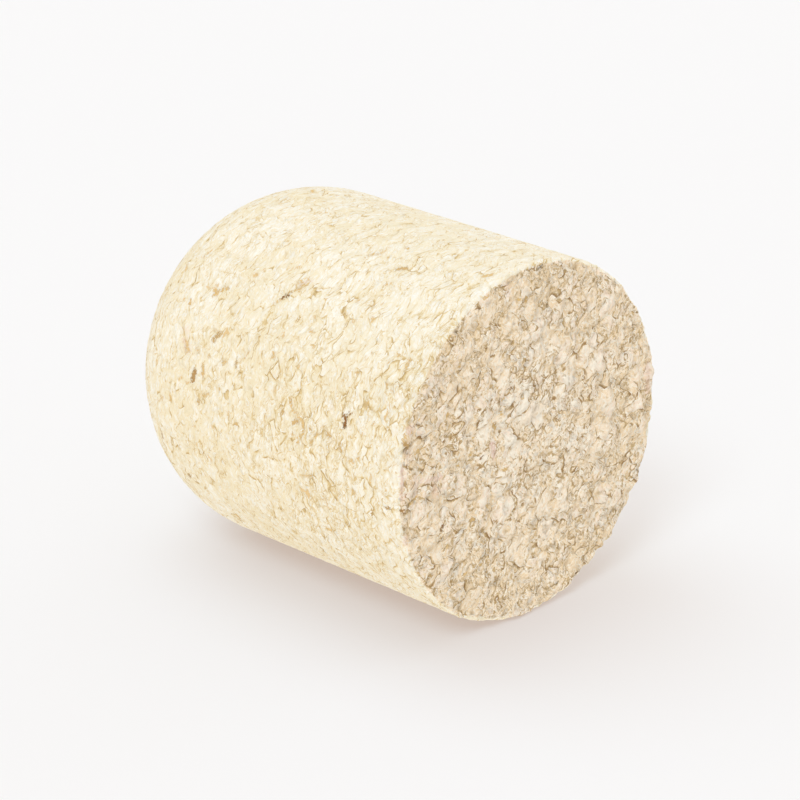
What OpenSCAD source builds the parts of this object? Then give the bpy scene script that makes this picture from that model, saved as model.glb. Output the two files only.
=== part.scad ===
// Bottle stopper of agglomerated cork, pressed in one piece: a straight round
// side between a flat cut end and a rounded head.
// It stands on the flat end. The origin is the centre of that end, and +Z runs
// along the axis towards the head. All sizes are in millimetres.

/* [Body] */
// Diameter of the straight side
body_d = 22; // [18:0.5:40]
// Length from the flat end to the crown of the head
body_l = 27; // [12:0.5:60]

/* [Head] */
// Radius that rounds the side over into the flat crown
head_r = 8.5; // [1:0.5:10.5]

/* [Flat end] */
// Radius that softens the rim of the flat end
rim_r = 0.5; // [0.1:0.1:2.5]

/* [Hidden] */
$fn = 128;
cork_colour = [0.93, 0.88, 0.75];
body_r = body_d / 2;
// How far the waste of a rounded corner runs past the corner it takes away
overcut = 1;

// Waste outside the rounding of the outer corner at [corner_x, corner_z].
// The rounding has radius r and is tangent to both edges. side is 1 where the
// corner points up and -1 where it points down.
module corner_waste(corner_x, corner_z, r, side) {
    translate([corner_x - r, corner_z - side * r])
        mirror([0, side < 0 ? 1 : 0])
            difference() {
                square(r + overcut);
                circle(r = r);
            }
}

// Half of the section through the axis: a plain strip from the axis to the
// side, less the waste of its two outer corners.
module half_section() {
    difference() {
        square([body_r, body_l]);
        corner_waste(body_r, body_l, head_r, 1);
        corner_waste(body_r, 0, rim_r, -1);
    }
}

module stopper() {
    color(cork_colour)
        rotate_extrude()
            half_section();
}

stopper();
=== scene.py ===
# %% [markdown]
# # A stopper of agglomerated cork
# Cork that is too broken to cut a stopper from is ground to granules, mixed with a binder, pressed in a
# mould and cut to length. The pressed side is smooth and pale, with the granules flattened against the
# mould. The cut end is open and crumbly. This lesson builds both finishes on one closed skin. The frame
# holds the exact solid, so the skin only has to follow it and add what a millimetre drawing leaves out.

# %% Load the frame
import math

import bpy
import numpy as np
from mathutils import Matrix, Vector
from mathutils.bvhtree import BVHTree


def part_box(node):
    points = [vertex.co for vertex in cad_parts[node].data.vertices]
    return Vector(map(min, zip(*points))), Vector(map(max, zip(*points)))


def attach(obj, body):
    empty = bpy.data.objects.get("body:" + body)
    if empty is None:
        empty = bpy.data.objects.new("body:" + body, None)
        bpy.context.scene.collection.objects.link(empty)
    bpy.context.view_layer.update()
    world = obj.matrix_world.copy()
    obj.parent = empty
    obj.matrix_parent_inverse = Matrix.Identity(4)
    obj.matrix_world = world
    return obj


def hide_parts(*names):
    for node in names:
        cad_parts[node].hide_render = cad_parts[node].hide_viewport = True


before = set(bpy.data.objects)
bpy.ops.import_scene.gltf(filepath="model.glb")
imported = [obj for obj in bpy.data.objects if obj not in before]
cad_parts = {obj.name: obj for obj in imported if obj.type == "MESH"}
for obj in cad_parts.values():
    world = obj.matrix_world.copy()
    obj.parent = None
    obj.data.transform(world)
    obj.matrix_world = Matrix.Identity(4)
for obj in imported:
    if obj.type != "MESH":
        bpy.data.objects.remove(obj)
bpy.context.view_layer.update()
_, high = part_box("stopper")
mm = 0.001
body_r = high.x / mm
body_l = high.z / mm
head_r = 8.5
rim_r = 0.5
print(f"stopper: {2 * body_r:.2f} mm across, {body_l:.2f} mm long")

# %% [markdown]
# ## The camera
# The stopper stands on its flat end here, and the photograph shows it lying on its side. So the camera
# comes from below and is turned, and it meets the object just as the photograph does. Thinking in the
# photograph's own directions makes that easy: "up" there is off the floor that the stopper lies on, which
# is -Y here, and the stopper's axis points away to the left of the line of sight.

# %% The photograph's directions
heading = math.radians(45.0)
pitch = math.radians(21.34)
photo_up = Vector((0, -1, 0))
photo_right = Vector((math.cos(heading), 0, -math.sin(heading)))
photo_away = Vector((math.sin(heading), 0, math.cos(heading)))
sight = photo_away * math.cos(pitch) - photo_up * math.sin(pitch)
camera_up = photo_up * math.cos(pitch) + photo_away * math.sin(pitch)
print("line of sight", [round(c, 2) for c in sight])

# %% Place the camera
aim = Vector((1.017, 0.911, 11.982)) * mm
camera_distance = 190.5 * mm
camera_data = bpy.data.cameras.new("photo_camera")
camera_data.lens = 141.0
camera_data.sensor_width = 36.0
camera_data.clip_start = 0.01
camera_data.clip_end = 10.0
camera = bpy.data.objects.new("photo_camera", camera_data)
turn = Matrix((photo_right, camera_up, -sight)).transposed().to_4x4()
camera.matrix_world = Matrix.Translation(aim - sight * camera_distance) @ turn
bpy.context.scene.collection.objects.link(camera)
bpy.context.scene.camera = camera
print("camera stands at", [round(c / mm, 1) for c in camera.location], "mm")

# %% [markdown]
# ## Short words for nodes
# The world, the floor and the cork are all trees of nodes. Made one by one, every node takes a line of its
# own, and so does each of its settings and links. A few helpers make a node, set it and link it in one
# line, so that what follows reads like the sum that it works out.


# %% Helpers for nodes
def add(tree, kind, feeds=None, **settings):
    """A node of the kind with its settings made, each input fed by a value or by another node's output."""
    made = tree.nodes.new("ShaderNode" + kind)
    for name, value in settings.items():
        setattr(made, name, value)
    for key, value in (feeds or {}).items():
        if isinstance(value, bpy.types.NodeSocket):
            tree.links.new(value, made.inputs[key])
        else:
            made.inputs[key].default_value = value
    return made


def calc(tree, operation, *values, clamp=False):
    """The output of a Math node fed with the values."""
    return add(tree, "Math", dict(enumerate(values)), operation=operation, use_clamp=clamp).outputs[0]


def vector(tree, operation, *values, output="Vector"):
    """An output of a Vector Math node fed with the values."""
    return add(tree, "VectorMath", dict(enumerate(values)), operation=operation).outputs[output]


def scaled(tree, value, factor):
    """A vector times a factor."""
    return add(tree, "VectorMath", {0: value, "Scale": factor}, operation="SCALE").outputs["Vector"]


def ramp(tree, value, start, end, low=0.0, high=1.0):
    """low where the value is below start, high above end, with a smooth S between."""
    feeds = {"Value": value, "From Min": start, "From Max": end, "To Min": low, "To Max": high}
    return add(tree, "MapRange", feeds, interpolation_type="SMOOTHSTEP").outputs["Result"]


def blend(tree, share, first, second):
    """The colour that lies the share of the way from the first colour to the second."""
    factor_input, first_input, second_input = 0, 6, 7
    feeds = {factor_input: share, first_input: first, second_input: second}
    return add(tree, "Mix", feeds, data_type="RGBA").outputs[2]


def looking(tree):
    """1 for a ray that looks at the background: one from the camera, or one sent on by gloss or glass."""
    path = add(tree, "LightPath").outputs
    seen = calc(tree, "ADD", path["Is Camera Ray"], path["Is Glossy Ray"])
    return calc(tree, "ADD", seen, path["Is Transmission Ray"], clamp=True)


# %% [markdown]
# ## Light
# The photograph is taken in a white tent on a white table: the light comes from all round and hardly
# changes from the top of the stopper to its foot. A world gives the even part of it. It is brighter below
# than above, because it stands for the table too, which throws light back up. Suns with a wide disc add
# soft light from chosen sides, which models the granules and has the same strength everywhere, so the
# floor stays evenly white. Those that shine from under the floor light the stopper alone. A sun whose
# strength is pi shows a colour that faces it as it is written, so strengths are given as shares of that.

# %% The suns
scene = bpy.context.scene
scene.view_settings.view_transform = "Standard"


def add_sun(name, share, width_deg, right, up, away, colour=(1, 1, 1)):
    """A sun that shines from the photograph's right, up and away shares of direction."""
    data = bpy.data.lights.new(name, "SUN")
    data.energy = math.pi * share
    data.angle = math.radians(width_deg)
    data.color = colour
    sun = bpy.data.objects.new(name, data)
    towards = (photo_right * right + photo_up * up + photo_away * away).normalized()
    sun.rotation_mode = "QUATERNION"
    sun.rotation_quaternion = towards.to_track_quat("Z", "Y")
    sun.location = towards * 0.1
    scene.collection.objects.link(sun)
    print(f"{name}: {share:.2f} from {[round(c, 2) for c in towards]}")


cool = (0.97, 1.0, 1.05)
warm = (1.0, 0.95, 0.87)
add_sun("key_sun", 0.34, 22, right=-0.22, up=0.70, away=-0.68)
add_sun("top_sun", 0.27, 50, right=-0.30, up=0.92, away=0.22, colour=cool)
add_sun("table_sun", 0.27, 40, right=-0.55, up=-0.75, away=-0.35, colour=warm)
add_sun("right_sun", 0.21, 30, right=0.80, up=-0.05, away=-0.50)
add_sun("back_sun", 0.30, 60, right=0.55, up=-0.05, away=0.75)

# %% The world
light_above = 0.50
light_below = 0.82
tint_above = (1.0, 0.98, 0.94, 1)
tint_below = (1.0, 0.95, 0.86, 1)
background_white = (0.955, 0.955, 0.965, 1)
world = bpy.data.worlds.new("studio")
scene.world = world
world.use_nodes = True
tree = world.node_tree
tree.nodes.clear()
upward = vector(tree, "DOT_PRODUCT", add(tree, "TexCoord").outputs["Generated"], photo_up, output="Value")
upward = calc(tree, "MULTIPLY_ADD", upward, 0.5, 0.5)
strength = calc(tree, "MULTIPLY_ADD", upward, light_above - light_below, light_below)
tint = blend(tree, upward, tint_below, tint_above)
light = add(tree, "Background", {"Color": tint, "Strength": strength}).outputs[0]
backdrop = add(tree, "Background", {"Color": background_white}).outputs[0]
shown = add(tree, "MixShader", {0: looking(tree), 1: light, 2: backdrop}).outputs[0]
add(tree, "OutputWorld", {"Surface": shown})
print(f"world: {light_below} from below to {light_above} from above")

# %% [markdown]
# ## The floor
# Two plain sheets stand in for the table. One touches the side, and is the floor that the stopper lies on
# in the photograph. The other is under the flat end, for views of the stopper standing. Rays that look at
# the background see them, from their front only. Light on its way to the stopper goes through, so neither
# sheet hides it or darkens it. Light that has bounced already finds them solid, which keeps it dark under
# the stopper, as on a real table. The photograph's shadow is warm on a white table. So the sheet is
# bluish, and a warm glow of its own fills it up to white: where the light is kept off, the glow is left.


# %% A sheet that shows from its front
def floor_material(own_colour, glow_colour):
    """A glowing diffuse sheet, solid from its front to rays that look at it or have bounced already."""
    material = bpy.data.materials.new("pale_floor")
    material.use_nodes = True
    tree = material.node_tree
    tree.nodes.clear()
    looked_at = looking(tree)
    path = add(tree, "LightPath").outputs
    bounces = calc(tree, "ADD", path["Diffuse Depth"], path["Is Shadow Ray"])
    bounced = calc(tree, "GREATER_THAN", bounces, 1.5)
    from_back = add(tree, "NewGeometry").outputs["Backfacing"]
    solid = calc(tree, "SUBTRACT", calc(tree, "MAXIMUM", looked_at, bounced), from_back, clamp=True)
    lit = add(tree, "BsdfDiffuse", {"Color": own_colour}).outputs[0]
    glow = add(tree, "Emission", {"Color": glow_colour, "Strength": looked_at}).outputs[0]
    sheet = add(tree, "AddShader", {0: lit, 1: glow}).outputs[0]
    clear = add(tree, "BsdfTransparent").outputs[0]
    shown = add(tree, "MixShader", {0: solid, 1: clear, 2: sheet}).outputs[0]
    add(tree, "OutputMaterial", {"Surface": shown})
    return material


def add_floor(name, material, centre, normal, half=1.0):
    """A square sheet through centre that faces along normal. half is half its width in metres."""
    first = normal.orthogonal().normalized() * half
    second = normal.cross(first)
    corners = [centre + first + second, centre - first + second]
    corners += [centre - first - second, centre + first - second]
    mesh = bpy.data.meshes.new(name)
    mesh.from_pydata([tuple(c) for c in corners], [], [(0, 1, 2, 3)])
    mesh.materials.append(material)
    sheet = bpy.data.objects.new(name, mesh)
    scene.collection.objects.link(sheet)
    print(name, "faces", [round(c, 2) for c in mesh.polygons[0].normal])


pale_floor = floor_material(own_colour=(0.375, 0.48, 0.555, 1), glow_colour=(0.560, 0.443, 0.369, 1))
add_floor("lying_floor", pale_floor, photo_up * -body_r * mm, photo_up)
add_floor("standing_floor", pale_floor, Vector((0, 0, 0)), Vector((0, 0, 1)))

# %% [markdown]
# ## The skin
# The skin follows the solid: from the middle of the flat end out to the rim, up the side, over the
# shoulder and in to the middle of the crown. A place on it is a distance along that line and an angle
# round the axis. A plain grid of the two would crowd its points at both middles, so the ends are covered
# by a square grid that is pulled round into a disc, and only the wall between them is made of rings.

# %% The line from the flat end to the crown
rim_start = body_r - rim_r
side_start = rim_start + rim_r * math.pi / 2
shoulder_start = side_start + body_l - head_r - rim_r
crown_start = shoulder_start + head_r * math.pi / 2
crown_r = body_r - head_r
line_end = crown_start + crown_r
print(f"the line is {line_end:.2f} mm long")


def profile(s):
    """Radius, height and outward slope at distance s along the line.

    Flat end: (s, 0). Rim: a quarter circle of rim_r. Side: straight up at body_r. Shoulder: a quarter
    circle of head_r. Crown: straight in at body_l. The slope is the sine and cosine of the arc's angle.
    """
    rim = np.clip((s - rim_start) / rim_r, 0, math.pi / 2)
    shoulder = np.clip((s - shoulder_start) / head_r, 0, math.pi / 2)
    lean = np.where(s < shoulder_start, rim - math.pi / 2, shoulder)
    along = [s < rim_start, s < side_start, s < shoulder_start, s < crown_start]
    radii = [s, rim_start + rim_r * np.sin(rim), body_r, crown_r + head_r * np.cos(shoulder)]
    heights = [0, rim_r - rim_r * np.cos(rim), rim_r + s - side_start,
               body_l - head_r + head_r * np.sin(shoulder)]
    radius = np.select(along, radii, line_end - s)
    height = np.select(along, heights, body_l)
    return radius, height, np.cos(lean), np.sin(lean)


# %% The grid
# The wall takes in most of the shoulder, and leaves its last flat part to the crown's square grid.
cells_across = 120
wall_rows = 146
wall_start = rim_start
wall_end = shoulder_start + 7.4


def disc(cells):
    """Distance share and angle of the points of a square grid that is pulled round into a disc.

    A point's distance is its larger coordinate, and its angle runs evenly along its square ring.
    """
    v, u = np.meshgrid(np.linspace(-1, 1, cells + 1), np.linspace(-1, 1, cells + 1), indexing="ij")
    wide = np.abs(u) > np.abs(v)
    far = np.where(wide, u, v)
    near = np.where(wide, v, u)
    share = np.divide(near, far, out=np.zeros_like(far), where=far != 0) * math.pi / 4
    angle = np.where(wide, share, math.pi / 2 - share) + np.where(far < 0, math.pi, 0)
    return np.abs(far), angle


def edge_ring(cells):
    """Indices of the grid's outer points in order of angle, from minus 45 degrees."""
    index = np.arange((cells + 1) ** 2).reshape(cells + 1, cells + 1)
    return np.concatenate([index[:-1, -1], index[-1, :0:-1], index[:0:-1, 0], index[0, :-1]])


def skin_grid():
    """Line distance and angle of every point of the skin, and its faces, all turned outwards."""
    distance, angle = disc(cells_across)
    count = distance.size
    steps = np.linspace(wall_start, wall_end, wall_rows + 1)[1:-1]
    edge = edge_ring(cells_across)
    ring_angle = angle.ravel()[edge]
    wall_s, wall_angle = np.meshgrid(steps, ring_angle, indexing="ij")
    s = np.concatenate([(distance * wall_start).ravel(), wall_s.ravel(),
                        (line_end - distance * (line_end - wall_end)).ravel()])
    a = np.concatenate([angle.ravel(), wall_angle.ravel(), angle.ravel()])
    rings = np.arange(wall_s.size).reshape(wall_s.shape) + count
    rings = np.vstack([edge, rings, edge + count + wall_s.size])
    following = np.roll(rings, -1, axis=1)
    wall = np.stack([rings[:-1], following[:-1], following[1:], rings[1:]], axis=2).reshape(-1, 4)
    square = np.arange(count).reshape(distance.shape)
    cap = np.stack([square[:-1, :-1], square[:-1, 1:], square[1:, 1:], square[1:, :-1]], axis=2)
    cap = cap.reshape(-1, 4)
    return s, a, np.vstack([cap[:, ::-1], wall, cap + count + wall_s.size])


line_s, line_angle, faces = skin_grid()
radius, height, slope_out, slope_up = profile(line_s)
rest = np.column_stack([radius * np.cos(line_angle), radius * np.sin(line_angle), height])
outward = np.column_stack([slope_out * np.cos(line_angle), slope_out * np.sin(line_angle), slope_up])
print(f"{len(rest)} points, {2 * len(faces)} triangles")

# %% [markdown]
# ## The granules
# Agglomerated cork is a heap of random lumps, and random cells round scattered seeds look just so. Blender
# has them as its Voronoi Texture. The same cells are worked out here in numpy, with the same hash, so the
# relief that is modelled and the colours that the material paints fall on the same granules. Pressing
# along the axis squeezed the granules flat, so the cells are shorter along Z: on the side they run round
# the stopper, and on the cut end they look even.


# %% Random numbers of a cell
def turned(bits, by):
    """32-bit whole numbers with their bits turned round to the left."""
    return (bits << np.uint32(by)) | (bits >> np.uint32(32 - by))


def hashed(x, y, z, fourth=None):
    """A number from 0 to 1 for each three or four: additions, turns and exclusive-ors, as in the texture."""
    a = x.view(np.uint32)
    b = y.view(np.uint32)
    c = z.view(np.uint32)
    start = np.uint32(0xDEADBEEF + (12 if fourth is None else 16) + 13)
    bits = [a + start, b + start, c + start]
    if fourth is not None:
        for i, by in enumerate((4, 6, 8, 16, 19, 4)):
            x_, y_, z_ = i % 3, (i + 2) % 3, (i + 1) % 3
            bits[x_] = (bits[x_] - bits[y_]) ^ turned(bits[y_], by)
            bits[y_] = bits[y_] + bits[z_]
        bits[0] = bits[0] + np.float32(fourth).view(np.uint32)
    for to, other, by in ((2, 1, 14), (0, 2, 11), (1, 0, 25), (2, 1, 16), (0, 2, 4), (1, 0, 14), (2, 1, 24)):
        bits[to] = (bits[to] ^ bits[other]) - turned(bits[other], by)
    return bits[2].astype(np.float32) / np.float32(0xFFFFFFFF)


def cell_numbers(cell):
    """Three numbers from 0 to 1 for each whole-numbered cell."""
    cell = (cell + 0.0).astype(np.float32)
    x, y, z = (np.ascontiguousarray(cell[..., i]) for i in range(3))
    return np.stack([hashed(x, y, z), hashed(x, y, z, 1.0), hashed(x, y, z, 2.0)], axis=-1)


# %% Granules as cells
flatten = 1.7
drag_turn = math.radians(-60.0)
drag = 1.30
along_drag = (math.cos(drag_turn) / drag, math.sin(drag_turn) / drag, 0)
across_drag = (-math.sin(drag_turn), math.cos(drag_turn), 0)
along_axis = (0, 0, flatten)
around = np.stack(np.meshgrid(*[(-1.0, 0.0, 1.0)] * 3, indexing="ij"), axis=-1).reshape(27, 1, 3)


def strayed(place):
    """Places pushed about by two rounds of sines, so that the walls between granules are bent."""
    once = place + 0.16 * np.sin(place[:, [1, 2, 0]] * 2.9 + 0.7)
    return once + 0.07 * np.sin(once[:, [2, 0, 1]] * 7.3 + 2.1)


def granules(place, size, soft=0.12):
    """The plate height of the granules at each place.

    Each cell has a seed at its corner plus its three numbers. A plate through the seed leans by those
    numbers, and near a wall the plates of both sides are blended by how near their seeds are.
    """
    spread = strayed(place) @ np.array([along_drag, across_drag, along_axis]).T / size
    corner = np.floor(spread)
    numbers = cell_numbers(corner + around)
    to_seed = corner + around + numbers - spread
    reach = (to_seed**2).sum(axis=2)
    plate = (numbers[..., 2] - 0.5) - (to_seed * (numbers - 0.5)).sum(axis=2)
    weight = np.exp(-(reach - reach.min(axis=0)) / soft)
    return (plate * weight).sum(axis=0) / weight.sum(axis=0)


# Three layers of granules, from whole flakes down to crumbs. Each starts elsewhere, so none repeats.
coarse = 1.05
fine = 0.50
crumb = 0.24
fine_start = 40.0
crumb_start = 80.0
coarse_plate = granules(rest, coarse)
fine_plate = granules(rest + fine_start, fine)
crumb_plate = granules(rest + crumb_start, crumb)
print(f"granule plates lean over {coarse_plate.min():.2f} to {coarse_plate.max():.2f}")

# %% [markdown]
# ## Marks that the photograph shows
# This stopper has its own pits, cracks, stains and pale flakes, and they are what makes it this one. Each
# is a short stroke, given as the photograph's pixels at both of its ends, half its width in pixels,
# and how dark or strong it is. The camera stands where the photograph's did, so a ray from it through a
# pixel meets the skin at the stroke's own place. From there on a stroke is a line on the skin in mm.

# %% Pits, cracks and creases
# Pixels of one end, pixels of the other end, half width in pixels, darkness.
marks = (
    (273, 304, 283, 298, 0.8, 0.35), (282, 297.5, 288, 295, 1.5, 0.9), (288, 292, 302, 288, 0.9, 0.55),
    (299, 290, 303, 284, 1.2, 0.5), (302, 288, 309, 281, 0.9, 0.45), (298, 282, 308, 277, 1, 0.4),
    (296, 268, 300, 266.6, 1.2, 0.4), (288, 270, 298, 267, 0.6, 0.25), (212, 296.4, 219, 292, 1, 0.5),
    (215, 290, 216, 293.6, 2, 0.55), (221, 290, 227, 288, 1.8, 0.5), (218, 284, 214, 288, 1.2, 0.35),
    (206, 287, 210, 287, 1, 0.3), (236.5, 284.6, 237.5, 284.6, 1.2, 0.4),
    (254.5, 275, 256.5, 275, 1.6, 0.4), (263, 270, 264, 270, 0.9, 0.35), (211, 250, 203, 256.4, 0.9, 0.4),
    (187, 265, 185.6, 269.6, 1.4, 0.35), (190, 299, 189.6, 303.6, 1.2, 0.55),
    (183.6, 298, 183.6, 300, 1, 0.4), (212.4, 340.4, 219, 334, 1.8, 0.65), (223, 335, 227, 332, 1.8, 0.4),
    (226, 329, 227, 334, 1.4, 0.4), (213, 330, 215, 330, 1.2, 0.4), (186, 342, 187.6, 350, 1.8, 0.4),
    (196.4, 348, 198, 352, 1, 0.35), (208, 355.6, 209.6, 356.8, 1.2, 0.45),
    (222, 363, 225.6, 361, 1.4, 0.45), (236, 362, 235.6, 366, 1.3, 0.6), (249, 351, 244, 358, 0.8, 0.4),
    (244, 358, 240, 361, 0.7, 0.3), (157, 360, 156, 363.6, 1.4, 0.4), (194.4, 371.6, 192, 380, 2.2, 0.75),
    (202.4, 364.4, 203, 378, 1.3, 0.55), (178, 379.6, 181.6, 376.4, 1, 0.4), (186, 383, 188, 383, 1, 0.4),
    (162, 397, 161.5, 399, 1.3, 0.5), (169.6, 395, 170.4, 402, 1.2, 0.5), (203, 396, 208, 394.4, 1.3, 0.4),
    (197.5, 402, 198.5, 402, 1.6, 0.6), (219, 387.6, 219, 389.6, 1.2, 0.5), (235, 424, 237, 424, 1.6, 0.55),
    (212, 427, 213, 427, 1.2, 0.4), (193.5, 426.6, 194.5, 426.6, 1.2, 0.35),
    (228.4, 413, 228.4, 419, 0.9, 0.4), (273, 353, 273, 359, 1.2, 0.5), (282, 337, 283.6, 333, 0.9, 0.35),
    (298, 366, 298, 369, 1, 0.4), (290, 399, 290, 403, 1.3, 0.6), (291, 406, 292.4, 410, 0.9, 0.4),
    (294, 411, 303, 423, 0.8, 0.4), (303, 423, 303, 432, 1, 0.55), (303, 432, 297, 443, 1, 0.5),
    (282, 411, 281, 414, 1.6, 0.6), (292, 423, 297, 421, 1.8, 0.6), (291.5, 434.4, 292.5, 434.4, 1.3, 0.5),
    (309, 428, 310, 429, 1, 0.6), (323, 427.6, 325, 427.6, 1.1, 0.5), (326.5, 434.5, 328.6, 436, 1.5, 0.6),
    (317, 433, 315, 436, 1.2, 0.5), (311.6, 440, 310.4, 445, 1.2, 0.55), (345, 417, 343.6, 426, 1.8, 0.95),
    (350, 413, 346, 417, 1.2, 0.8), (342.4, 415, 345, 417, 1.2, 0.8), (340, 444, 341, 452, 1.3, 0.55),
    (348, 460, 352, 461.5, 1, 0.4), (314, 347, 312, 345, 1, 0.45), (313, 332, 309, 330, 1, 0.4),
    (314, 315, 314, 317, 1, 0.35), (358, 299.6, 356, 301, 1.2, 0.5), (326, 298.5, 326, 299.5, 0.9, 0.35),
    (353, 320, 353, 322, 1, 0.4), (372, 321, 373, 317, 1, 0.4), (372, 305, 375, 304, 1, 0.4),
    (382, 303.6, 383, 303.4, 0.9, 0.3), (386, 284, 386, 285, 1, 0.5), (391, 282, 391, 283, 0.9, 0.35),
    (406.5, 247.6, 407.5, 247.6, 1.3, 0.5), (388, 256.5, 388, 257.5, 1, 0.4),
    (368, 255, 382, 252.4, 1.2, 0.4), (382, 252, 390, 247, 0.8, 0.3), (398, 268, 406, 267, 2.2, 0.6),
    (372, 352, 371, 353, 1.1, 0.5), (357, 371, 357, 373, 1, 0.45), (410, 358, 405.6, 368, 1.1, 0.45),
    (386, 382, 385.6, 388, 1.4, 0.55), (391, 389.5, 391, 390.5, 0.9, 0.4), (390, 405, 384, 420, 1, 0.4),
    (397, 352, 399, 355, 0.9, 0.45), (366, 402, 365.6, 408, 0.9, 0.45), (388, 360.5, 388, 361.5, 0.9, 0.35),
    (342, 379, 342, 381, 0.9, 0.35), (372.5, 423, 373.5, 423, 1, 0.4), (248, 446, 248, 448, 1.4, 0.4),
    (196, 444, 196, 446, 1.3, 0.35), (208, 456, 211, 461, 1, 0.35), (265, 415, 265, 417, 1, 0.45),
    (274.4, 389, 274.4, 391, 1.3, 0.35), (305.8, 490.8, 308.3, 497.5, 1.8, 0.4),
    (300, 489, 306, 493, 1.4, 0.35), (353, 491.5, 353.6, 493.5, 2, 0.4),
    (325, 528.3, 331.7, 531.7, 1.2, 0.4), (385.8, 508.3, 388.3, 509, 1.6, 0.7),
    (385, 489, 383.3, 495, 1, 0.4), (324, 496.7, 327.5, 506.7, 0.9, 0.35), (370, 475, 369, 483, 1.1, 0.4),
    (309.5, 476.7, 310.5, 476.7, 1, 0.5), (299, 476, 309, 477, 0.8, 0.3), (319, 466, 319, 467.5, 0.9, 0.4),
    (357.5, 457.5, 356.7, 459, 1.2, 0.5), (352.5, 461, 352.5, 462.5, 1.2, 0.4),
    (362.5, 433.5, 362.5, 434.5, 1, 0.4), (350, 436, 350, 437.5, 1, 0.35), (404, 444, 404.3, 445, 2, 0.7),
    (405, 435, 404, 443, 1.2, 0.5), (401.7, 513, 405, 513, 2.2, 0.8), (390, 540, 392.5, 541, 0.9, 0.5),
    (419, 574, 419, 576, 1.5, 0.4), (410, 552, 410, 554, 1, 0.35), (484, 275.5, 492, 274, 2, 0.45),
    (488, 297, 486, 298, 1.3, 0.45), (451, 337.5, 449, 339, 1.4, 0.6), (407, 420, 421, 421, 0.9, 0.4),
    (408, 447, 412, 446, 2.4, 0.65), (423, 451.7, 418, 454, 1.5, 0.5), (425.8, 447, 425.8, 449, 1, 0.5),
    (447, 417, 449, 415, 2, 0.55), (428, 425, 427.5, 428, 1.3, 0.6), (413.5, 432.5, 414.5, 432.5, 1.2, 0.5),
    (476, 436.7, 475, 440, 1.3, 0.5), (482.5, 457, 482.5, 458, 1.4, 0.9),
    (487.5, 450, 487.5, 452, 1.5, 0.7), (496.7, 425, 497.5, 429, 2.2, 0.6), (502, 414, 504, 414, 1.6, 0.5),
    (459, 453, 459, 455, 1.4, 0.5), (471.2, 456, 472.2, 456, 1.2, 0.5),
    (459.5, 466.7, 460.5, 466.7, 1.2, 0.5), (432, 461.5, 433, 460.5, 1.3, 0.5),
    (443, 526, 443, 529.5, 1.7, 0.9), (473, 520, 475, 520, 1.5, 0.6), (495, 522.5, 497, 522.5, 1.3, 0.7),
    (489.5, 508, 490.5, 508, 1.5, 0.4), (431.7, 513, 428, 516.7, 1.3, 0.5),
    (418, 496.7, 412.5, 501.7, 1.3, 0.55), (412.5, 501.7, 410.8, 505, 1.2, 0.5),
    (450, 575, 455, 563, 1.6, 0.6), (433, 576.7, 434.5, 576.7, 1.5, 0.6), (465, 575, 467, 573, 1.3, 0.5),
    (506, 470.5, 507.5, 469.5, 1.7, 0.6), (478, 492.5, 478, 493.5, 1.2, 0.5),
    (447, 548, 449, 546, 1.2, 0.4), (482, 567, 484, 566, 1.2, 0.5), (491.7, 386.7, 498, 387.5, 1.2, 0.5),
    (504, 400, 506, 400, 1.2, 0.4), (527, 298, 527, 302, 1.8, 0.6), (519, 301, 521, 300, 1.5, 0.5),
    (461, 365, 461, 367, 1.6, 0.6), (523, 396, 523, 398, 1.6, 0.55),
)

# %% Stains and pale flakes
# The same columns. The last one is how strongly the stain or the flake shows.
stains = (
    (300, 285, 309, 280, 2.5, 0.5), (184, 340, 188, 350, 2.8, 0.5), (184, 329, 188, 331, 3, 0.3),
    (648, 366, 648, 390, 4, 0.45), (494, 445, 496, 456, 3.2, 0.9), (410, 430, 412, 431, 5, 0.6),
    (409, 446, 411, 460, 3.5, 0.35), (436, 487, 438, 495, 3, 0.5), (407, 540, 405, 545, 3, 0.6),
    (404, 470, 403, 500, 2.2, 0.7), (442, 478, 433, 480.5, 1.6, 0.9), (433, 480.5, 422, 481, 1.4, 0.7),
    (510, 287, 511, 296, 3, 0.35), (415, 480, 417, 495, 4, 0.3),
)
pale_flakes = (
    (396, 396, 402, 400, 3.2, 1), (413, 394, 416, 396, 2.6, 1), (329, 404, 331, 412, 3.2, 0.7),
    (346, 424, 348, 432, 2.8, 0.6), (329, 437, 331, 445, 2.5, 0.5), (322, 258, 336, 256, 4, 0.6),
    (270, 462, 276, 465, 2.5, 0.7), (392, 548, 400, 556, 2.4, 0.6), (402, 521, 404, 524, 2.4, 0.7),
    (518, 428, 546, 403, 4, 0.9),
)

# %% From the photograph to the skin
photo_width = 800
pixel = camera_data.sensor_width / camera_data.lens / photo_width
smooth_skin = BVHTree.FromPolygons(rest.tolist(), faces.tolist())


def behind(x, y):
    """The place on the smooth skin behind a pixel of the photograph, and the size of the pixel there."""
    ray = sight + photo_right * ((x - photo_width / 2) * pixel) - camera_up * ((y - photo_width / 2) * pixel)
    place = smooth_skin.ray_cast(camera.location / mm, ray)[0]
    return place, (place - camera.location / mm).dot(sight) * pixel


def strokes_behind(rows):
    """Both ends of each stroke on the skin in mm, and its half width in mm and strength."""
    starts = [behind(row[0], row[1]) for row in rows]
    ends = [behind(row[2], row[3])[0] for row in rows]
    widths = [[row[4] * size, row[5]] for row, (_, size) in zip(rows, starts)]
    return np.array([place for place, _ in starts]), np.array(ends), np.array(widths)


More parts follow.
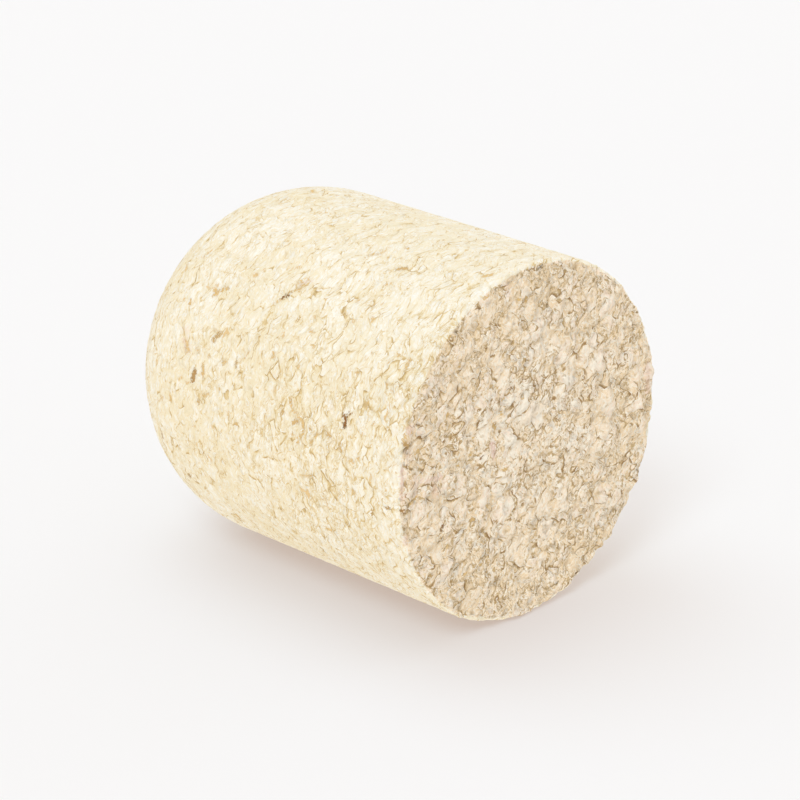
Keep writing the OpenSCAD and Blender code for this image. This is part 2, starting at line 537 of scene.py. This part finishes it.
def within(starts, ends, widths, fade=0.8):
    """How deep each point of the skin is in its nearest stroke, and the strength of that stroke.

    The depth is the stroke's half width less the distance to the line between its ends, as a share of the
    fade, plus a half: it is 0.5 on the outline of the stroke and falls evenly outwards.
    """
    depth = np.full(len(rest), -fade)
    strength = np.zeros(len(rest))
    for start, end, (half_width, most) in zip(starts, ends, widths):
        run = end - start
        share = np.clip((rest - start) @ run / max(run @ run, 1e-6), 0, 1)
        inside = half_width - np.linalg.norm(rest - start - share[:, None] * run, axis=1)
        closer = inside > depth
        depth[closer] = inside[closer]
        strength[closer] = most
    return np.clip(0.5 + depth / fade, 0, 1), strength


# %% [markdown]
# ## Marks where the photograph does not look
# The far side and the crown would look too clean without marks, and nobody knows theirs. They get marks of
# the same kind by chance, from a generator with a fixed seed, so that every run makes the same stopper.


# %% Marks by chance
def on_skin(angle_deg, s):
    """The place at an angle and a distance along the line."""
    radius, height, _, _ = profile(s)
    angle = np.radians(angle_deg)
    return np.stack([radius * np.cos(angle), radius * np.sin(angle), height], axis=-1)


chance = np.random.default_rng(11)
tries = 420
hidden_s = chance.uniform(side_start + 0.5, line_end - 1, tries)
hidden_angle = chance.uniform(-180, 180, tries)
length = chance.uniform(0.05, 0.65, tries) ** 1.5
lean = np.radians(chance.normal(20, 30, tries))
hidden_radius = profile(hidden_s)[0]
hidden_starts = on_skin(hidden_angle, hidden_s)
hidden_ends = on_skin(hidden_angle + np.degrees(length * np.cos(lean) / hidden_radius),
                      hidden_s + length * np.sin(lean))
hidden_widths = np.column_stack([chance.uniform(0.05, 0.10, tries), chance.uniform(0.3, 0.75, tries)])
even = chance.uniform(0, body_r, tries) < hidden_radius
body_middle = np.array([0, 0, 12])
hidden = even & ((hidden_starts - body_middle) @ np.array(sight) > 0)
by_chance = (hidden_starts[hidden], hidden_ends[hidden], hidden_widths[hidden])
every_mark = [np.vstack(pair) for pair in zip(strokes_behind(marks), by_chance)]
pit, pit_strength = within(*every_mark)
stain, stain_strength = within(*strokes_behind(stains))
flake, flake_strength = within(*strokes_behind(pale_flakes))
print(f"{len(marks)} marks placed from the photograph, {hidden.sum()} more by chance")


# %% [markdown]
# ## The relief
# Pressing squeezes every granule that stands high flush with its neighbours, so on the side only the low
# ones show, as shallow dents. Where the mould pressed less, in a few patches, they are deeper. Nothing
# pressed the cut end: all its granules stand as they broke. Between the two, the rim crumbles. The
# points are moved along the outward direction, so all of this is in the mesh itself.


# %% Open and closed parts of the pressed side
def eased(value, start, end):
    """0 at start, 1 at end, with a smooth S between them."""
    share = np.clip((value - start) / (end - start), 0, 1)
    return share * share * (3 - 2 * share)


# Each row is a patch where the granules stand open: the angle and the distance along the line of its
# middle, and how far it reaches in degrees and in mm.
open_patches = (
    (178, 16.5, 38, 5.5),
    (-148, 12.0, 22, 2.0),
    (-172, 21.5, 14, 3.0),
    (70, 20.0, 40, 5.0),
    (0, 14.0, 30, 4.0),
)
open_share = np.zeros(len(rest))
for centre, middle, wide, tall in open_patches:
    off = (np.degrees(line_angle) - centre + 180) % 360 - 180
    open_share = np.maximum(open_share, np.exp(-(off / wide) ** 2 - ((line_s - middle) / tall) ** 2))
print(f"{(open_share > 0.5).mean():.0%} of the points stand open")


# %% Heights
flush = -0.05
crumb_depth = 0.03
pressed_depth = 0.07 + 0.09 * open_share
sunk = np.minimum(coarse_plate, flush) + np.minimum(fine_plate, flush) - 2 * flush
pressed_relief = pressed_depth * sunk + crumb_depth * crumb_plate - 0.02
cut_relief = 0.18 * (coarse_plate + fine_plate) + 0.04 * crumb_plate - 0.11
rim_relief = 0.10 * coarse_plate + 0.09 * fine_plate + 0.05 * crumb_plate - 0.04
rim_middle = rim_start + 0.35
rim_reach = 0.55
rim_share = np.exp(-((line_s - rim_middle) / rim_reach) ** 2)
cut = 1 - eased(line_s, rim_start - 0.1, side_start + 0.1)
pit_depth = 0.10 * pit_strength * eased(pit, 0.44, 0.62)
proudest = 0.03
relief = cut * cut_relief + (1 - cut) * pressed_relief + rim_share * rim_relief - pit_depth
relief = np.minimum(relief, proudest)
print(f"relief from {relief.min():.2f} to {relief.max():.2f} mm")

# %% Build the skin
skin = bpy.data.meshes.new("pressed_cork")
points = (rest + outward * relief[:, None]) * mm
skin.vertices.add(len(points))
skin.vertices.foreach_set("co", points.astype(np.float32).ravel())
skin.loops.add(faces.size)
skin.loops.foreach_set("vertex_index", faces.astype(np.int32).ravel())
skin.polygons.add(len(faces))
skin.polygons.foreach_set("loop_start", np.arange(0, faces.size, 4, dtype=np.int32))
skin.polygons.foreach_set("use_smooth", np.ones(len(faces), bool))
skin.update(calc_edges=True)
carried = {
    "cut_face": cut, "open_share": open_share, "pit": pit, "pit_strength": pit_strength,
    "stain": stain, "stain_strength": stain_strength, "pale_flake": flake, "flake_strength": flake_strength,
}
for name, values in carried.items():
    layer = skin.attributes.new(name, "FLOAT", "POINT")
    layer.data.foreach_set("value", values.astype(np.float32))
skin.validate()
stopper = bpy.data.objects.new("pressed_cork", skin)
scene.collection.objects.link(stopper)
print(f"a mesh of {len(skin.polygons)} faces, with {len(carried)} numbers at each point")

# %% [markdown]
# ## The finish
# The colours are painted by nodes that work out the same granules as the relief. The nodes are gathered
# in groups: one bends the places, one gives the granule at a place, and one the painted shade and lip
# highlight of the crease at its wall. Each layer of granules, from whole flakes down to crumbs, is one
# more copy of them with its own size.


# %% Helpers for groups
def shared_group(name, inputs, outputs):
    """An empty node group with named sockets, and its inner input and output nodes."""
    group = bpy.data.node_groups.new(name, "ShaderNodeTree")
    for title, kind in inputs:
        group.interface.new_socket(title, in_out="INPUT", socket_type=kind)
    for title, kind in outputs:
        group.interface.new_socket(title, in_out="OUTPUT", socket_type=kind)
    return group, group.nodes.new("NodeGroupInput"), group.nodes.new("NodeGroupOutput")


def use(tree, group, **feeds):
    """A copy of the node group in the tree, with its named inputs fed."""
    return add(tree, "Group", feeds, node_tree=group)


# %% [markdown]
# ## Bent places
# Granules have no straight walls. Two rounds of sines push every place about before its cell is looked
# up. They are the sines of strayed() above, with the same numbers, so relief and colour bend alike.


# %% Group: places pushed about
FLOAT = "NodeSocketFloat"
VECTOR = "NodeSocketVector"


def swizzle(tree, place, order):
    """The place with its three numbers in another order."""
    parts = add(tree, "SeparateXYZ", {0: place})
    return add(tree, "CombineXYZ", {i: parts.outputs[o] for i, o in enumerate(order)}).outputs[0]


def waves(tree, place, order, pitch, phase, push):
    """The place plus push times the sine of its reordered numbers times pitch plus phase."""
    angle = vector(tree, "MULTIPLY_ADD", swizzle(tree, place, order), (pitch,) * 3, (phase,) * 3)
    return vector(tree, "MULTIPLY_ADD", vector(tree, "SINE", angle), (push,) * 3, place)


bent, inside, outside = shared_group("bent place", [("Place", VECTOR)], [("Place", VECTOR)])
once = waves(bent, inside.outputs["Place"], (1, 2, 0), 2.9, 0.7, 0.16)
bent.links.new(waves(bent, once, (2, 0, 1), 7.3, 2.1, 0.07), outside.inputs["Place"])
print(f"{bent.name}: {len(bent.nodes)} nodes")

# %% [markdown]
# ## One granule
# The Voronoi Texture finds the nearest seed and the next one. Everything that a finish asks of a granule
# follows from the two: its own random numbers, the direction away from its middle, a dome, the height of
# its leaning plate and of its neighbour's, and the distance in mm to the wall between them.

# %% Group: the granule at a place
granule, inside, outside = shared_group(
    "granule",
    [("Place", VECTOR), ("Size", FLOAT)],
    [("Numbers", VECTOR), ("Away", VECTOR), ("Dome", FLOAT),
     ("Plate", FLOAT), ("Next plate", FLOAT), ("Wall", FLOAT)],
)
spread = [vector(granule, "DOT_PRODUCT", inside.outputs["Place"], axis, output="Value")
          for axis in (along_drag, across_drag, along_axis)]
spread = add(granule, "CombineXYZ", dict(enumerate(spread))).outputs[0]
cells = vector(granule, "DIVIDE", spread, inside.outputs["Size"])


def plate(cells, seeds):
    """Height of a granule's plate at the cells: its third number, and a lean by all three."""
    lean = vector(granule, "SUBTRACT", seeds.outputs["Color"], (0.5, 0.5, 0.5))
    offset = vector(granule, "SUBTRACT", cells, seeds.outputs["Position"])
    tilt = vector(granule, "DOT_PRODUCT", offset, lean, output="Value")
    return calc(granule, "ADD", tilt, add(granule, "SeparateXYZ", {0: lean}).outputs["Z"])


seeds = [add(granule, "TexVoronoi", {"Vector": cells, "Scale": 1.0}, feature=rank) for rank in ("F1", "F2")]
own, other = (seed.outputs["Position"] for seed in seeds)
towards = vector(granule, "NORMALIZE", vector(granule, "SUBTRACT", other, own))
to_own = vector(granule, "SUBTRACT", own, cells)
both = vector(granule, "ADD", to_own, vector(granule, "SUBTRACT", other, cells))
half_size = calc(granule, "MULTIPLY", inside.outputs["Size"], 0.5)
wall = calc(granule, "MULTIPLY", vector(granule, "DOT_PRODUCT", both, towards, output="Value"), half_size)
offset = vector(granule, "SUBTRACT", cells, own)
away = [vector(granule, "DOT_PRODUCT", offset, column, output="Value")
        for column in zip(along_drag, across_drag, along_axis)]
away = add(granule, "CombineXYZ", dict(enumerate(away))).outputs[0]
granule.links.new(away, outside.inputs["Away"])
steep = vector(granule, "DOT_PRODUCT", offset, offset, output="Value")
mean_steep = 0.2
granule.links.new(calc(granule, "SUBTRACT", mean_steep, steep), outside.inputs["Dome"])
granule.links.new(seeds[0].outputs["Color"], outside.inputs["Numbers"])
granule.links.new(plate(cells, seeds[0]), outside.inputs["Plate"])
granule.links.new(plate(cells, seeds[1]), outside.inputs["Next plate"])
granule.links.new(wall, outside.inputs["Wall"])
print(f"{granule.name}: {len(granule.nodes)} nodes")

# %% [markdown]
# ## Painted shade and highlight at the crease between two granules
# A crease is painted as shade on one side of a wall only, at the foot of the granule that stands higher.
# Painted near shade is the soft shade beside it, painted gap shade the crease itself and painted deep
# shade its darkest part. Painted lip highlight, on the other side, is the higher granule's edge painted lit.

# %% Group: painted shade and highlight at the crease between two granules
crease, inside, outside = shared_group(
    "painted crease shade and lip highlight",
    [("Plate", FLOAT), ("Next plate", FLOAT), ("Wall", FLOAT), ("Width", FLOAT)],
    [("Painted near shade", FLOAT), ("Painted gap shade", FLOAT), ("Painted deep shade", FLOAT), ("Painted lip highlight", FLOAT)],
)
drop = calc(crease, "SUBTRACT", inside.outputs["Next plate"], inside.outputs["Plate"])
depth = calc(crease, "SUBTRACT", inside.outputs["Width"], inside.outputs["Wall"])
below = ramp(crease, drop, -0.15, 0.30)
crease.links.new(calc(crease, "MULTIPLY", ramp(crease, depth, -0.12, 0.0), below), outside.inputs["Painted near shade"])
gap = calc(crease, "MULTIPLY", ramp(crease, depth, 0.0, 0.035), below)
crease.links.new(gap, outside.inputs["Painted gap shade"])
crease.links.new(calc(crease, "MULTIPLY", ramp(crease, depth, 0.04, 0.11), below), outside.inputs["Painted deep shade"])
above = ramp(crease, drop, -0.05, -0.45)
edge = ramp(crease, inside.outputs["Wall"], 0.02, 0.09, 1.0, 0.0)
crease.links.new(calc(crease, "MULTIPLY", edge, above), outside.inputs["Painted lip highlight"])
print(f"{crease.name}: {len(crease.nodes)} nodes")

# %% [markdown]
# ## The cork
# One material has both finishes, because the rim belongs to both. It reads the object's own coordinates,
# made mm, so it stays put when the stopper moves. Some noise frays the places, and three copies of the
# granule group give the flakes, the bits and the crumbs.

# %% The cork material
cork = bpy.data.materials.new("cork")
cork.use_nodes = True
tree = cork.node_tree
shader = tree.nodes["Principled BSDF"]
place = scaled(tree, add(tree, "TexCoord").outputs["Object"], 1 / mm)
place = use(tree, bent, Place=place).outputs["Place"]
fray_push = 0.16
fray = add(tree, "TexNoise", {"Vector": place, "Scale": 4.0, "Detail": 3.0, "Roughness": 0.7})
fray = vector(tree, "SUBTRACT", fray.outputs["Color"], (0.5, 0.5, 0.5))
frayed = vector(tree, "MULTIPLY_ADD", fray, (fray_push,) * 3, place)
flakes = use(tree, granule, Place=frayed, Size=coarse)
bits = use(tree, granule, Place=vector(tree, "ADD", frayed, (fine_start,) * 3), Size=fine)
crumbs = use(tree, granule, Place=vector(tree, "ADD", frayed, (crumb_start,) * 3), Size=crumb)
squashed = vector(tree, "MULTIPLY", place, (1, 1, 2.0))


def noise(scale, detail=2.0, rough=0.5, start=0.0):
    """Noise from 0 to 1, its scale in waves for each millimetre. Each start gives another noise."""
    shifted = vector(tree, "ADD", squashed, (start, start, start))
    feeds = {"Vector": shifted, "Scale": scale, "Detail": detail, "Roughness": rough}
    return add(tree, "TexNoise", feeds).outputs["Fac"]


def attribute(name):
    """A number that the mesh carries."""
    return add(tree, "Attribute", attribute_name=name).outputs["Fac"]


def creased(granules, width):
    """The group of painted crease shade and lip highlight, fed from a granule group."""
    feeds = {name: granules.outputs[name] for name in ("Plate", "Next plate", "Wall")}
    return use(tree, crease, Width=width, **feeds)


def patches(scale, start, low, high, least, most, more=None):
    """A width that changes from patch to patch between least and most, raised where more is high."""
    share = noise(scale, 2.0, 0.6, start=start)
    if more is not None:
        share = calc(tree, "ADD", share, more)
    return ramp(tree, share, low, high, least, most)


def total(*parts):
    """The sum of pairs of a value and its weight."""
    value, weight = parts[0]
    result = calc(tree, "MULTIPLY", value, weight)
    for value, weight in parts[1:]:
        result = calc(tree, "MULTIPLY_ADD", value, weight, result)
    return result


# %% [markdown]
# ## Where each thing is
# The numbers that the mesh carries are smooth and as coarse as its points. Noise is added to each before
# a narrow ramp cuts it at its outline, which gives edges as crisp and ragged as broken cork.


# %% Masks
fuzz = calc(tree, "SUBTRACT", noise(5.0, 1.0, 0.6, start=90.0), 0.5)
crumble = calc(tree, "SUBTRACT", noise(9.0, 1.0, 0.6, start=150.0), 0.5)
mottle = calc(tree, "SUBTRACT", noise(1.6, 3.0, 0.7, start=70.0), 0.5)
cut_mask = calc(tree, "MULTIPLY_ADD", mottle, 0.5, attribute("cut_face"))
cut_mask = ramp(tree, cut_mask, 0.42, 0.58)
outline = 0.475


def spot(name, ragged, soft):
    """The strokes that an attribute carries: 1 inside, 0 outside, with a ragged edge that is soft wide."""
    edge = total((attribute(name), 1.0), (fuzz, ragged), (crumble, ragged))
    return ramp(tree, edge, outline - soft, outline + soft)


pit_mask = spot("pit", 0.42, 0.04)
pit_dark = attribute("pit_strength")
stain_mask = calc(tree, "MULTIPLY", spot("stain", 0.8, 0.14), attribute("stain_strength"))
flake_mask = calc(tree, "MULTIPLY", spot("pale_flake", 0.6, 0.08), attribute("flake_strength"))
opened = calc(tree, "MULTIPLY_ADD", attribute("open_share"), 0.08, -0.01)
slow = calc(tree, "SUBTRACT", noise(0.16, 1.0, 0.5, start=140.0), 0.5)

# %% [markdown]
# ## Whole flakes and broken ones
# About one flake in three came through the mill whole. It is smoother than the rest: its bits and crumbs
# show half as much, and fewer creases run over it.

# %% Whole flakes and broken ones
flake_number = add(tree, "SeparateXYZ", {0: flakes.outputs["Numbers"]})
whole = ramp(tree, flake_number.outputs["Y"], 0.60, 0.68)
broken = calc(tree, "MULTIPLY_ADD", whole, -0.5, 1.0)
side_more = calc(tree, "MULTIPLY_ADD", whole, -0.10, opened)
face_more = calc(tree, "MULTIPLY_ADD", whole, -0.18, 0.02)

# %% [markdown]
# ## Creases and pocks
# Some granules are sharply parted and others run into each other, so the creases' painted shade changes in
# width from patch to patch and falls below nothing in places. The pressed side has narrower ones, which
# open in its loose patches. Pocks are dark spots painted as the shade of small holes where a crumb fell
# out, and crinkles are painted shade in wrinkles of squeezed cork.

# %% Creases of each finish
side_flakes = creased(flakes, patches(0.8, 21.0, 0.42, 0.68, -0.03, 0.14, opened))
side_bits = creased(bits, patches(1.1, 31.0, 0.42, 0.66, -0.02, 0.09, side_more))
side_crumbs = creased(crumbs, patches(1.4, 41.0, 0.44, 0.66, -0.01, 0.06, side_more))
face_flakes = creased(flakes, patches(1.0, 51.0, 0.40, 0.66, -0.01, 0.15))
face_bits = creased(bits, patches(1.4, 61.0, 0.42, 0.68, -0.02, 0.11, face_more))
face_crumbs = creased(crumbs, patches(2.0, 71.0, 0.40, 0.66, -0.01, 0.06, face_more))


# %% Painted shade of pocks and crinkles
pock_noise = noise(3.0, 2.0, 0.6, start=110.0)
pock_patch = ramp(tree, noise(0.7, 2.0, 0.5, start=120.0), 0.44, 0.60, 0.25, 1.0)
side_pock_shade = calc(tree, "MULTIPLY", ramp(tree, calc(tree, "ADD", pock_noise, opened), 0.58, 0.70), pock_patch)
face_pock_shade = calc(tree, "MULTIPLY", ramp(tree, pock_noise, 0.56, 0.65), broken)
crinkle_shade = calc(tree, "ABSOLUTE", calc(tree, "SUBTRACT", noise(1.5, 3.0, 0.65, start=130.0), 0.5))
crinkle_shade = calc(tree, "MULTIPLY", ramp(tree, crinkle_shade, 0.0, 0.045, 1.0, 0.0), pock_patch)

# %% [markdown]
# ## Facets and fine relief
# Crumbs are smaller than the faces of the mesh, and the light still has to find them. So each granule
# turns the normal: away from its own middle, as a rounded lump does, and by its random numbers, as a
# leaning facet does. A limit on the turning keeps the cut face from going dark where all layers add up.
# A Bump gives the finest grain and the dents of the marks.


# %% Facets and fine relief
def pushed(part, output, middle, side, face):
    """A granule's own vector, times side on the pressed skin and times face on the cut end."""
    push = vector(tree, "SUBTRACT", part.outputs[output], (middle, middle, middle))
    weight = calc(tree, "MULTIPLY_ADD", cut_mask, face - side, side)
    if part is not flakes:
        weight = calc(tree, "MULTIPLY", weight, broken)
    return scaled(tree, push, weight)


turning = (0.0, 0.0, 0.0)
for part, rounded, leaning in ((flakes, (0.16, 0.62), (0.12, 0.28)),
                               (bits, (0.24, 0.55), (0.16, 0.20)),
                               (crumbs, (0.20, 0.42), (0.18, 0.24))):
    turning = vector(tree, "ADD", pushed(part, "Away", 0.0, *rounded), turning)
    turning = vector(tree, "ADD", pushed(part, "Numbers", 0.5, *leaning), turning)
most_turning = 0.62
limit = calc(tree, "DIVIDE", most_turning, vector(tree, "LENGTH", turning, output="Value"))
turning = scaled(tree, turning, calc(tree, "MINIMUM", limit, 1.0))
turned_normal = vector(tree, "ADD", add(tree, "NewGeometry").outputs["Normal"], turning)
turned_normal = vector(tree, "NORMALIZE", turned_normal)
relief_weight = calc(tree, "MULTIPLY_ADD", cut_mask, 0.02, 0.04)
height = calc(tree, "MULTIPLY", calc(tree, "MULTIPLY_ADD", mottle, 2.0, fuzz), relief_weight)
height = calc(tree, "MULTIPLY_ADD", calc(tree, "MULTIPLY", pit_mask, pit_dark), -0.05, height)
bump = add(tree, "Bump", {"Strength": 1.0, "Distance": mm, "Height": height, "Normal": turned_normal})
tree.links.new(bump.outputs["Normal"], shader.inputs["Normal"])

# %% [markdown]
# ## Painted light and shade by height
# Places that stand proud are painted paler, as if lit, and places that lie low darker and yellower, as shade.
# One number for each finish adds up the plates and domes of all layers with some noise, which also gives
# the cork's own random tone. The cut face shows the fine streaks of the bark as well: noise that is drawn
# out along a direction of its own in every flake.

# %% Height of a place among its neighbours
side_tone_and_shade = total((flakes.outputs["Plate"], 0.12), (bits.outputs["Plate"], 0.2),
                   (crumbs.outputs["Plate"], 0.3), (mottle, 0.8), (fuzz, 0.8),
                   (flakes.outputs["Dome"], 0.4), (bits.outputs["Dome"], 0.4), (slow, 0.8))
grain_turn = calc(tree, "MULTIPLY_ADD", flake_number.outputs["Z"], 1.6, -drag_turn - 0.8)
grain = add(tree, "VectorRotate", {"Vector": place, "Angle": grain_turn}, rotation_type="Z_AXIS").outputs[0]
grain = vector(tree, "MULTIPLY", grain, (1.6, 7.0, 3.5))
grain = add(tree, "TexNoise", {"Vector": grain, "Scale": 1.0, "Detail": 2.0, "Roughness": 0.6}).outputs["Fac"]
grain = calc(tree, "SUBTRACT", grain, 0.5)
from_axis = vector(tree, "LENGTH", vector(tree, "MULTIPLY", place, (1, 1, 0)), output="Value")
fine_tone_and_shade = total((bits.outputs["Plate"], 0.40), (crumbs.outputs["Plate"], 0.4), (fuzz, 0.5),
                   (bits.outputs["Dome"], 0.9), (crumbs.outputs["Dome"], 0.7))
# The last term makes the cut face paler in the middle and darker and yellower towards its rim.
face_tone_and_shade = total((fine_tone_and_shade, broken), (flakes.outputs["Plate"], 0.28), (flakes.outputs["Dome"], 0.8),
                   (mottle, 0.5), (grain, 1.0), (ramp(tree, from_axis, 2.0, 10.0, 0.24, -0.17), 1.0))


def crease_sum(name, flake_weight, bit_weight, crumb_weight, parts):
    """One output of the three crease groups, each times its weight, from 0 to 1."""
    weights = (flake_weight, bit_weight, crumb_weight)
    together = total(*((part.outputs[name], weight) for part, weight in zip(parts, weights)))
    return calc(tree, "MINIMUM", together, 1.0)


# %% [markdown]
# ## Colours
# Each finish starts from its middle colours and is blended in turn: painted light and shade by height,
# its own tone by flake, then the painted highlight of the lips, and last the painted shade of the creases
# and pocks, which hides the rest.


# %% Colours of the pressed side
# yellow is also the painted shade of low places and beside creases, and pale also the painted light of high
# places and the painted highlight of lips; crease_tan and russet are the painted shade in creases, crinkles
# and pocks.
cream = (0.935, 0.888, 0.775, 1)
yellow = (0.89, 0.792, 0.572, 1)
pale = (0.975, 0.958, 0.885, 1)
crease_tan = (0.76, 0.59, 0.31, 1)
russet = (0.50, 0.33, 0.13, 1)
side_parts = (side_flakes, side_bits, side_crumbs)
# Low places are painted yellower as shade, and high places paler as if lit.
side_colour = blend(tree, ramp(tree, side_tone_and_shade, -0.30, 0.05), yellow, cream)
side_colour = blend(tree, ramp(tree, side_tone_and_shade, 0.05, 0.28), side_colour, pale)
whiter = calc(tree, "MULTIPLY_ADD", attribute("open_share"), 0.5, 0.25)
whiter = calc(tree, "MULTIPLY", ramp(tree, flake_number.outputs["X"], 0.70, 0.85), whiter)
side_colour = blend(tree, whiter, side_colour, pale)
up_side = add(tree, "SeparateXYZ", {0: place}).outputs["Z"]
side_colour = blend(tree, ramp(tree, up_side, 1.0, 15.0, 0.38, 0.0), side_colour, pale)
# Painted highlight on the lips, then painted shade beside and in the creases, crinkles and pocks.
side_colour = blend(tree, crease_sum("Painted lip highlight", 0.3, 0.3, 0.2, side_parts), side_colour, pale)
side_colour = blend(tree, crease_sum("Painted near shade", 0.8, 0.6, 0.4, side_parts), side_colour, yellow)
side_colour = blend(tree, calc(tree, "MULTIPLY", crinkle_shade, 0.25), side_colour, crease_tan)
side_colour = blend(tree, calc(tree, "MULTIPLY", side_pock_shade, 0.8), side_colour, crease_tan)
side_colour = blend(tree, crease_sum("Painted gap shade", 0.95, 0.9, 0.7, side_parts), side_colour, crease_tan)
side_colour = blend(tree, crease_sum("Painted deep shade", 0.8, 0.6, 0.0, side_parts), side_colour, russet)

# %% Colours of the cut face
# honey is also the painted shade of low places, and bone also the painted light of high places and the
# painted highlight of lips; olive and brown are the painted shade in creases and pocks.
beige = (0.97, 0.82, 0.64, 1)
lilac = (0.96, 0.805, 0.66, 1)
bone = (1.0, 0.925, 0.80, 1)
honey = (0.89, 0.705, 0.475, 1)
olive = (0.56, 0.395, 0.19, 1)
brown = (0.34, 0.20, 0.08, 1)
face_parts = (face_flakes, face_bits, face_crumbs)
face_colour = blend(tree, ramp(tree, flake_number.outputs["Z"], 0.55, 0.75), beige, lilac)
# Low places are painted honey as shade, and high places bone as if lit.
face_colour = blend(tree, ramp(tree, face_tone_and_shade, 0.02, 0.28), face_colour, bone)
face_colour = blend(tree, ramp(tree, face_tone_and_shade, -0.40, -0.06, 1.0, 0.0), face_colour, honey)
# Painted highlight on the lips, then painted shade in the pocks and creases.
face_colour = blend(tree, crease_sum("Painted lip highlight", 0.8, 0.9, 0.7, face_parts), face_colour, bone)
face_colour = blend(tree, calc(tree, "MULTIPLY", face_pock_shade, 0.85), face_colour, olive)
face_colour = blend(tree, crease_sum("Painted gap shade", 0.85, 0.85, 0.6, face_parts), face_colour, olive)
face_colour = blend(tree, crease_sum("Painted deep shade", 0.9, 0.75, 0.0, face_parts), face_colour, brown)

# %% [markdown]
# ## The marks on top
# The pale flakes, stains and pits lie over both finishes. A pit's colour is partly the cork's own darker
# tone and partly painted shade in the hole: a shallow mark is tan, and only the darkest pits of the
# photograph go down to brown.

# %% The whole colour
colour = blend(tree, cut_mask, side_colour, face_colour)
rosy = (0.80, 0.56, 0.49, 1)
chalk = (1.0, 0.96, 0.88, 1)
cut_chalk = (1.0, 0.87, 0.70, 1)
shallow_tan = (0.81, 0.57, 0.26, 1)
deep_brown = (0.30, 0.13, 0.035, 1)
colour = blend(tree, calc(tree, "MULTIPLY", flake_mask, 0.7), colour, blend(tree, cut_mask, chalk, cut_chalk))
colour = blend(tree, calc(tree, "MULTIPLY", stain_mask, 0.7), colour, rosy)
# Pit colour: the cork's own darker tone together with painted shade in the hole, from tan to brown.
pit_colour = blend(tree, ramp(tree, pit_dark, 0.45, 1.0), shallow_tan, deep_brown)
pit_share = calc(tree, "MULTIPLY", pit_mask, ramp(tree, pit_dark, 0.2, 0.5, 0.6, 1.0))
colour = blend(tree, pit_share, colour, pit_colour)
tree.links.new(colour, shader.inputs["Base Color"])
shader.inputs["Roughness"].default_value = 0.85
shader.inputs["Specular IOR Level"].default_value = 0.25
skin.materials.append(cork)
print(f"{cork.name}: {len(tree.nodes)} nodes")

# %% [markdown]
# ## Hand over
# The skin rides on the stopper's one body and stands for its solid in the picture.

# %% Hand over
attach(stopper, "root")
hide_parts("stopper")
